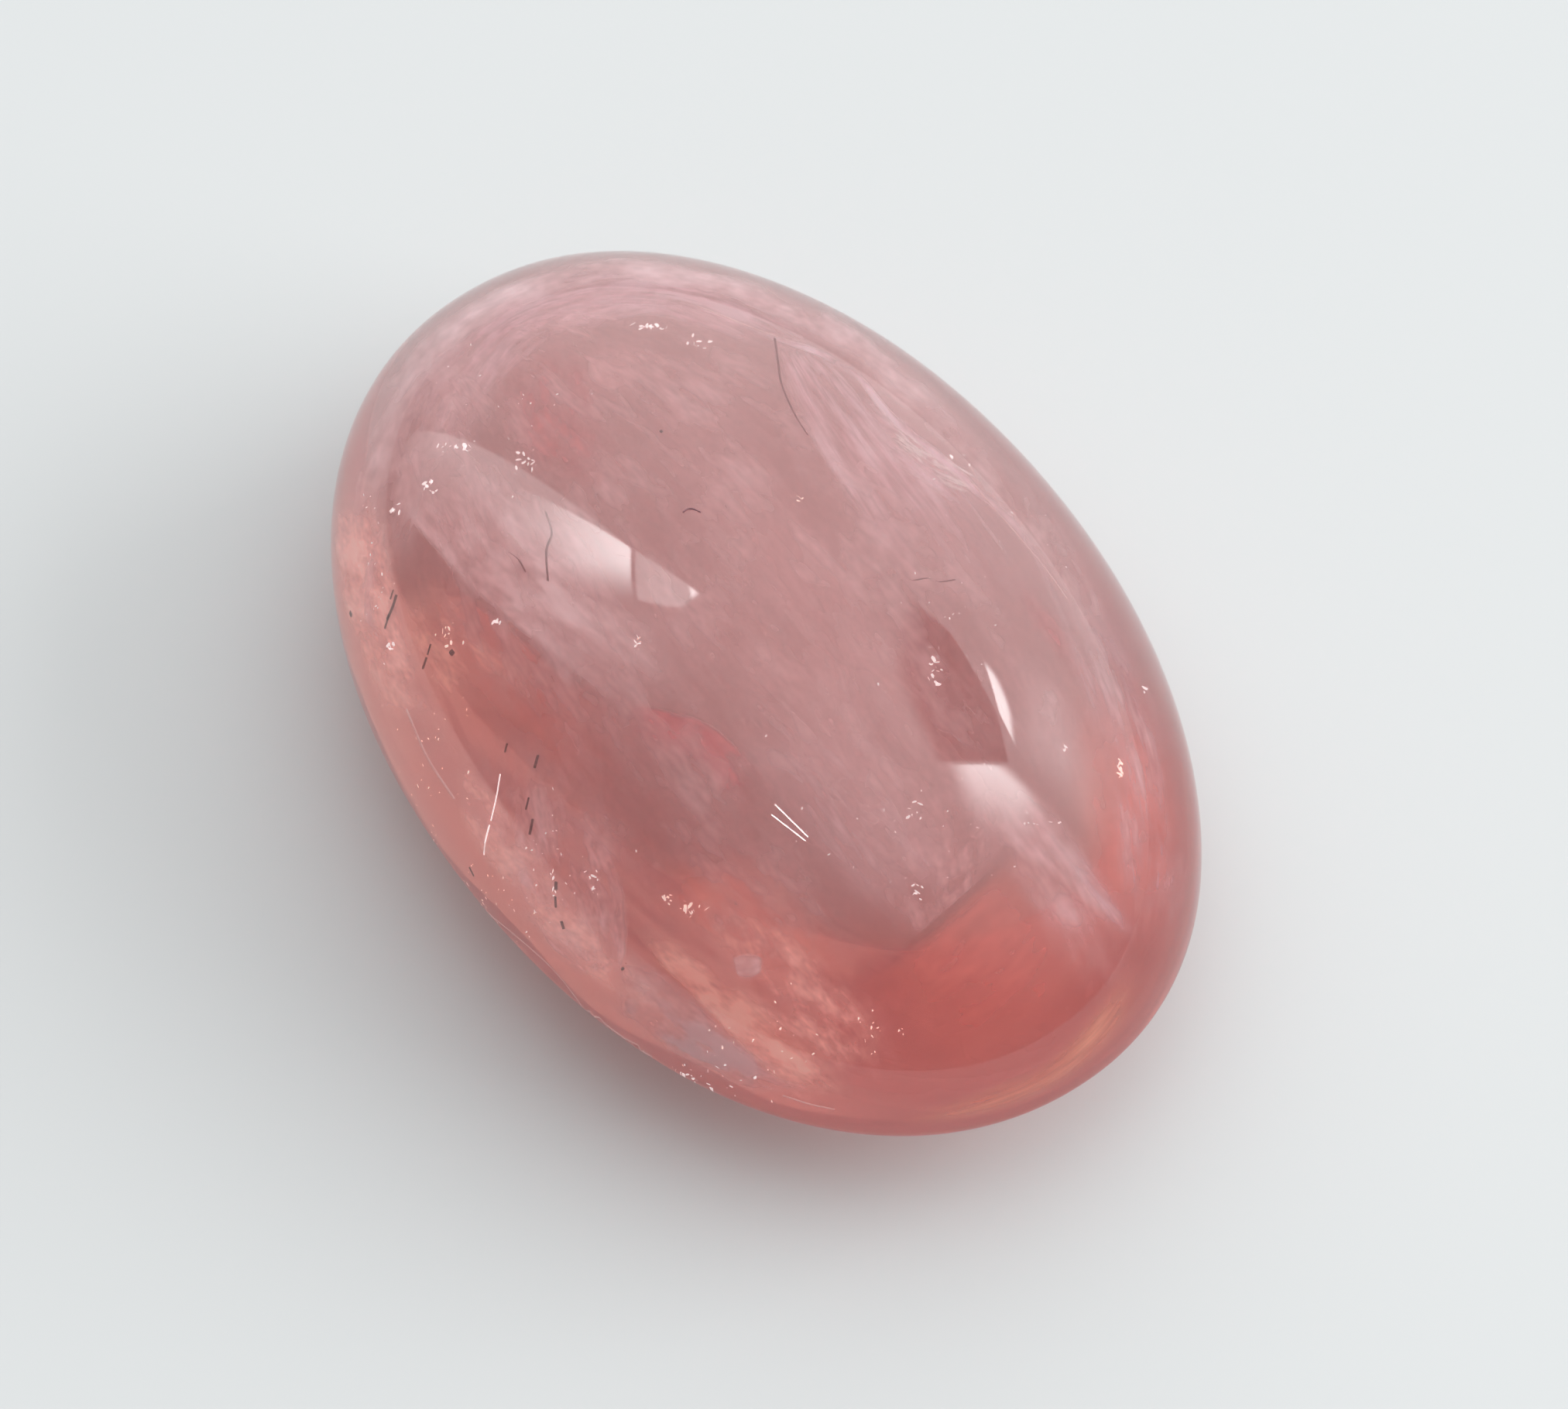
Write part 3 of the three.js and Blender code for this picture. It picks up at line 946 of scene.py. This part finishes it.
def make_inclusions():
    """Flakes, tubes, needles and cracks. The glow of the pale ones is painted light: painted glints, and the
    light that they catch.
    """
    bright = inclusion_material("bright_flakes", (1, 1, 1), (0.95, 0.93, 0.97), 0.4, glow=0.6)
    golden = inclusion_material("golden_flakes", (1, 0.75, 0.5), (1, 0.55, 0.35), 0.4, glow=0.6)
    dark = inclusion_material("dark_tubes", (0.1, 0.06, 0.07), (0.3, 0.2, 0.21), 0.5, alpha=0.55)
    white = inclusion_material("white_needle", (1, 1, 1), (0.85, 0.85, 0.9), 0.4, glow=0.8)
    streak = inclusion_material("light_streak", (1, 0.8, 0.8), (1, 0.65, 0.62), 0.6, alpha=0.4, glow=0.12)
    crack = inclusion_material("crack", (0.16, 0.03, 0.04), (0.34, 0.1, 0.11), 0.6, alpha=0.75)
    add_flakes("bright_flakes", BRIGHT_CLUSTERS, bright)
    add_flakes("golden_flakes", GOLDEN_CLUSTERS, golden)
    add_needles("dark_tubes", DARK_TUBES, dark)
    add_needles("white_needles", WHITE_NEEDLES, white)
    add_needles("light_streaks", LIGHT_STREAKS, streak)
    add_cracks("cracks", CRACKS, CRACK_LEAN, CRACK_DEPTHS, crack)


def make_lint():
    """One fibre of lint that lies on the dome, left of its top."""
    material = inclusion_material("lint", (0.1, 0.04, 0.06), (0.25, 0.12, 0.14), 0.6)
    points, faces, path = [], [], []
    for pixel in smooth_curve(LINT, LINT_POINTS):
        place, normal, _, _ = stone_tree.ray_cast(CAMERA_PLACE, sight_line(pixel))
        path.append(place + normal * LINT_HEIGHT)
    thin_tube(points, faces, path, LINT_RADIUS)
    add_inclusion("lint_fibre", points, faces, material)


# Studio

FLOOR_RADIUS = 0.8
FLOOR_SIDES = 96
FLOOR_DROP = 0.03 * MM


def make_floor():
    """A plain round floor, a hair below the stone's flat spot."""
    points = []
    for i in range(FLOOR_SIDES):
        turn = 2 * math.pi * i / FLOOR_SIDES
        points.append((FLOOR_RADIUS * math.cos(turn), FLOOR_RADIUS * math.sin(turn), -FLOOR_DROP))
    floor = add_mesh("floor", points, [list(range(FLOOR_SIDES))], floor_material(), smooth=False)


def direction_at(azimuth, elevation):
    """The direction at an azimuth, counted from +X towards +Y, and an elevation, in degrees."""
    turn, lift = math.radians(azimuth), math.radians(elevation)
    level = math.cos(lift)
    return Vector((level * math.cos(turn), level * math.sin(turn), math.sin(lift)))


def window_pane(nodes, links, direction, corners, blurs, radiance):
    """A bright pane in the sky. Each corner is followed by an edge that is blurred over its own angle."""
    pane = radiance
    middle = sum((direction_at(*corner) for corner in corners), Vector())
    for i, blur in enumerate(blurs):
        near, far = direction_at(*corners[i]), direction_at(*corners[(i + 1) % len(corners)])
        inward = near.cross(far).normalized()
        if inward.dot(middle) < 0:
            inward.negate()
        inside = share_towards(nodes, links, direction, inward, 0, math.radians(blur))
        pane = join_values(nodes, links, "MULTIPLY", inside, pane)
    return pane


# The bright panes and the dark beam that the stone mirrors. Corners are azimuths and elevations in degrees.
SHARP = 0.6
LEFT_WINDOW = ((-166, 0), (-148, 0), (-152, 50), (-165, 58.5), (-179.4, 55))
LEFT_WINDOW_BLURS = (24, 18, 6, SHARP, SHARP)
LEFT_WINDOW_GLOW = ((-168, 35), (-150, 35), (-152, 50), (-165, 58.5), (-179.4, 55))
LEFT_WINDOW_GLOW_BLURS = (28, 12, 6, SHARP, SHARP)
LEFT_SIDE_PANE = ((-179.4, 55), (-165, 58.5), (-172, 60.6), (-177, 62.3), (171, 61.3))
LEFT_SIDE_PANE_BLURS = (SHARP, SHARP, SHARP, SHARP, SHARP)
LEFT_PANE_TIP = ((173.3, 60.1), (177.5, 62), (170.8, 61.5))
LEFT_PANE_TIP_BLURS = (SHARP, SHARP, SHARP)
RIGHT_WINDOW = ((99, 47), (95, 18), (75, 12), (55, 30), (80.5, 52.3), (93, 48.8))
RIGHT_WINDOW_BLURS = (14, 22, 14, 14, SHARP, SHARP)
RIGHT_WINDOW_STRIP = ((109.7, 46.5), (100.3, 42.5), (92.7, 43.9), (80.3, 50), (80.5, 52.4), (93, 48.7))
RIGHT_WINDOW_STRIP_BLURS = (2, 2, 2, SHARP, SHARP, SHARP)
RIGHT_LOWER_PANE = ((83.7, 68.4), (80.5, 52.3), (70, 43), (52, 50), (50, 68))
RIGHT_LOWER_PANE_BLURS = (SHARP, 4, 10, 20, 6)
DARK_BEAM = ((120, 48), (110, 46.3), (93, 48.8), (80.5, 52.3), (83.7, 68.4), (90, 71.5), (104, 70), (122, 64))
DARK_BEAM_BLURS = (1, SHARP, SHARP, SHARP, SHARP, 5, 5, 5)
PANES = (
    (LEFT_WINDOW, LEFT_WINDOW_BLURS, 1.7),
    (LEFT_WINDOW_GLOW, LEFT_WINDOW_GLOW_BLURS, 9.8),
    (LEFT_SIDE_PANE, LEFT_SIDE_PANE_BLURS, 2.4),
    (LEFT_PANE_TIP, LEFT_PANE_TIP_BLURS, 8),
    (RIGHT_WINDOW, RIGHT_WINDOW_BLURS, 1.2),
    (RIGHT_WINDOW_STRIP, RIGHT_WINDOW_STRIP_BLURS, 10),
    (RIGHT_LOWER_PANE, RIGHT_LOWER_PANE_BLURS, 9.5),
)

# The brightness of the room as it is mirrored, as it enters the stone, and behind everything
ROOM_BRIGHT_DIRECTION = (112, 42)
ROOM_FADE = (0, 0.92)
ROOM_DARK_SIDE, ROOM_BRIGHT_SIDE = 0.3, 1.75
ENTERING_DARK_SIDE, ENTERING_BRIGHT_SIDE = 1.86, 3.22
SIDE_LIGHT_DIRECTION = (58, 22)
SIDE_FADE = (0.5, 1)
SIDE_GLOW = 5.5
BACKDROP_BRIGHTNESS = 0.81
LIGHT_COLOUR = (0.98, 0.995, 1, 1)


def make_world():
    """The light of the room: its panes for reflections, a fuller light for what enters the stone."""
    world = bpy.data.worlds.new("studio")
    bpy.context.scene.world = world
    world.use_nodes = True
    world.cycles.sampling_method = "NONE"
    nodes, links = world.node_tree.nodes, world.node_tree.links
    direction = nodes.new("ShaderNodeTexCoord").outputs["Generated"]
    bright_side = share_towards(nodes, links, direction, direction_at(*ROOM_BRIGHT_DIRECTION), *ROOM_FADE)
    room = remap(nodes, links, bright_side, (0, 1), (ROOM_DARK_SIDE, ROOM_BRIGHT_SIDE))
    entering = remap(nodes, links, bright_side, (0, 1), (ENTERING_DARK_SIDE, ENTERING_BRIGHT_SIDE))
    beam = window_pane(nodes, links, direction, DARK_BEAM, DARK_BEAM_BLURS, 1)
    light = join_values(nodes, links, "MULTIPLY", room, join_values(nodes, links, "SUBTRACT", 1, beam))
    for corners, blurs, radiance in PANES:
        pane = window_pane(nodes, links, direction, corners, blurs, radiance)
        light = join_values(nodes, links, "ADD", light, pane)
    soft_side = share_towards(nodes, links, direction, direction_at(*SIDE_LIGHT_DIRECTION), *SIDE_FADE)
    soft_side = join_values(nodes, links, "MULTIPLY", soft_side, SIDE_GLOW)
    entering = join_values(nodes, links, "ADD", entering, soft_side)
    path = nodes.new("ShaderNodeLightPath")
    unmirrored = choose(nodes, links, path.outputs["Is Transmission Ray"], room, entering)
    light = choose(nodes, links, path.outputs["Is Glossy Ray"], unmirrored, light)
    seen = nodes.new("ShaderNodeMix")
    links.new(path.outputs["Is Camera Ray"], seen.inputs["Factor"])
    links.new(light, seen.inputs["A"])
    set_inputs(seen, {"B": BACKDROP_BRIGHTNESS})
    background = nodes["Background"]
    set_inputs(background, {"Color": LIGHT_COLOUR})
    links.new(seen.outputs["Result"], background.inputs["Strength"])


# Lamps, in metres. The length, the width and the middle of a tube are in shares of its height.
SIDE_LIGHT_DISTANCE = 0.5
SIDE_LIGHT_SIZE = (0.48, 0.3)
SIDE_LIGHT_RADIANCE = 4.4
TUBE_HEIGHT = 0.45
TUBE_LENGTH, TUBE_WIDTH = 0.112, 0.006
TUBE_RADIANCE = 22
TUBE_BACK_MIDDLE, TUBE_BACK_TURN = (0.007, -0.2312), 8.2
TUBE_FRONT_MIDDLE, TUBE_FRONT_TURN = (0.0165, -0.2647), 21.3


def area_light(name, length, width, radiance):
    """A rectangular lamp that the camera doesn't see, and whose light stays out of the stone's inside."""
    data = bpy.data.lights.new(name, "AREA")
    data.shape = "RECTANGLE"
    data.size, data.size_y = length, width
    data.energy = math.pi * radiance * length * width
    lamp = bpy.data.objects.new(name, data)
    bpy.context.collection.objects.link(lamp)
    lamp.visible_camera = False
    lamp.visible_transmission = False
    lamp.visible_volume_scatter = False
    return lamp


def tube_light(name, middle, turn):
    """A thin lamp that shows only in reflections."""
    tube = area_light(name, TUBE_LENGTH * TUBE_HEIGHT, TUBE_WIDTH * TUBE_HEIGHT, TUBE_RADIANCE)
    tube.location = (middle[0] * TUBE_HEIGHT, middle[1] * TUBE_HEIGHT, TUBE_HEIGHT)
    tube.rotation_euler = (0, 0, math.radians(turn))
    tube.visible_diffuse = False


def side_light():
    """A wide soft box that lights the stone and the floor from one side and keeps out of reflections."""
    box = area_light("side_light", *SIDE_LIGHT_SIZE, SIDE_LIGHT_RADIANCE)
    way = direction_at(*SIDE_LIGHT_DIRECTION)
    box.location = way * SIDE_LIGHT_DISTANCE
    box.rotation_euler = way.to_track_quat("Z", "Y").to_euler()
    box.visible_glossy = False


def make_lights():
    side_light()
    tube_light("tube_back", TUBE_BACK_MIDDLE, TUBE_BACK_TURN)
    tube_light("tube_front", TUBE_FRONT_MIDDLE, TUBE_FRONT_TURN)


def set_render():
    scene = bpy.context.scene
    scene.view_settings.view_transform = "Standard"
    scene.cycles.max_bounces = 10
    scene.cycles.glossy_bounces = 5
    scene.cycles.transmission_bounces = 8
    scene.cycles.volume_bounces = 5
    scene.cycles.volume_step_rate = 10
    scene.cycles.transparent_max_bounces = 200


make_camera()
stone_tree = make_stone(stone_material())
make_veil_materials()
make_veils()
make_inclusions()
make_lint()
make_floor()
make_world()
make_lights()
set_render()
